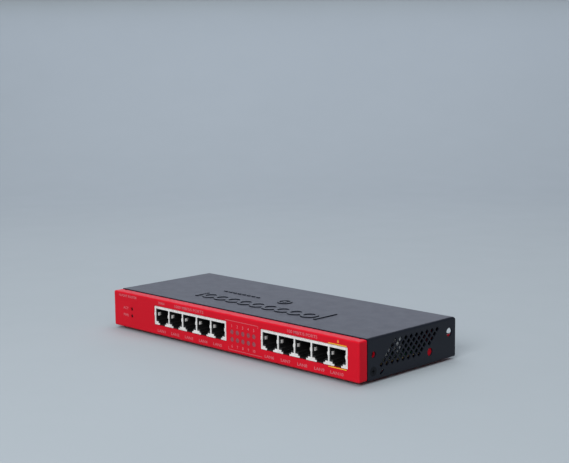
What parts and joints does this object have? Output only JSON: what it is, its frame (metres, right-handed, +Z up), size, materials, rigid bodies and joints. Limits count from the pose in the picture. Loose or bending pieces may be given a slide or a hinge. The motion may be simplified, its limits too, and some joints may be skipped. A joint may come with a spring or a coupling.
{
  "type": "network firewall appliance",
  "caption": "Desktop firewall appliance: low steel case with a red front panel, two rows of network sockets, status lights and vented sides.",
  "frame": {"origin": "on the surface the feet stand on, under the centre of the case", "axes": "+X to the right seen from the front, front panel with the sockets towards -Y, +Z up"},
  "size_m": [0.23, 0.09, 0.0275],
  "materials": {
    "red_paint": "satin powder coat",
    "dark_paint": "fine matt powder coat",
    "screw_black": "black oxide",
    "zinc_plate": "satin",
    "foot_rubber": "matt",
    "board_green": "satin solder mask",
    "tinned_steel": "bright",
    "socket_plastic": "satin",
    "gold_plate": "bright",
    "light_guide_plastic": "milky translucent",
    "status_guide_plastic": "dark translucent",
    "led_body": "gloss",
    "chip_plastic": "matt moulded",
    "pad_grey": "soft",
    "heatsink_aluminium": "anodised",
    "capacitor_aluminium": "bright",
    "inductor_ferrite": "matt",
    "crystal_can": "bright",
    "ceramic_part": "satin ceramic",
    "jack_plastic": "gloss",
    "jack_contact": "nickel plated",
    "switch_plastic": "matt",
    "plunger_plastic": "satin"
  },
  "bodies": {
    "case": {"base_tray": "red_paint", "top_cover": "dark_paint", "cover_screws": "screw_black", "cover_nuts": "zinc_plate", "bracket_nut_right": "zinc_plate", "bracket_nut_left": "zinc_plate", "rubber_feet": "foot_rubber", "board_standoffs": "zinc_plate", "board_screws": "zinc_plate", "circuit_board": "board_green", "port_shield_left": "tinned_steel", "port_shield_right": "tinned_steel", "port_housing_left": "socket_plastic", "port_housing_right": "socket_plastic", "port_contacts_left": "gold_plate", "port_contacts_right": "gold_plate", "port_light_guide": "light_guide_plastic", "status_light_guide": "status_guide_plastic", "port_leds": "led_body", "status_leds": "led_body", "power_jack": "jack_plastic", "power_jack_pin": "jack_contact", "power_jack_terminals": "jack_contact", "reset_switch": "switch_plastic", "processor": "chip_plastic", "gigabit_switch_chip": "chip_plastic", "fast_switch_chip": "chip_plastic", "memory_chip": "chip_plastic", "flash_chip": "chip_plastic", "thermal_pad": "pad_grey", "heatsink": "heatsink_aluminium", "port_transformers_left": "chip_plastic", "port_transformers_right": "chip_plastic", "capacitors": "capacitor_aluminium", "power_inductors": "inductor_ferrite", "crystals": "crystal_can", "regulators": "chip_plastic", "chip_parts": "ceramic_part"},
    "reset_button": {"reset_plunger": "plunger_plastic"}
  },
  "joints": [
    {"name": "reset_press", "type": "slide", "parent": "case", "child": "reset_button", "axis": [0, -1, 0], "range_m": [0, 0.0003], "stiffness_N_per_m": 5000}
  ]
}
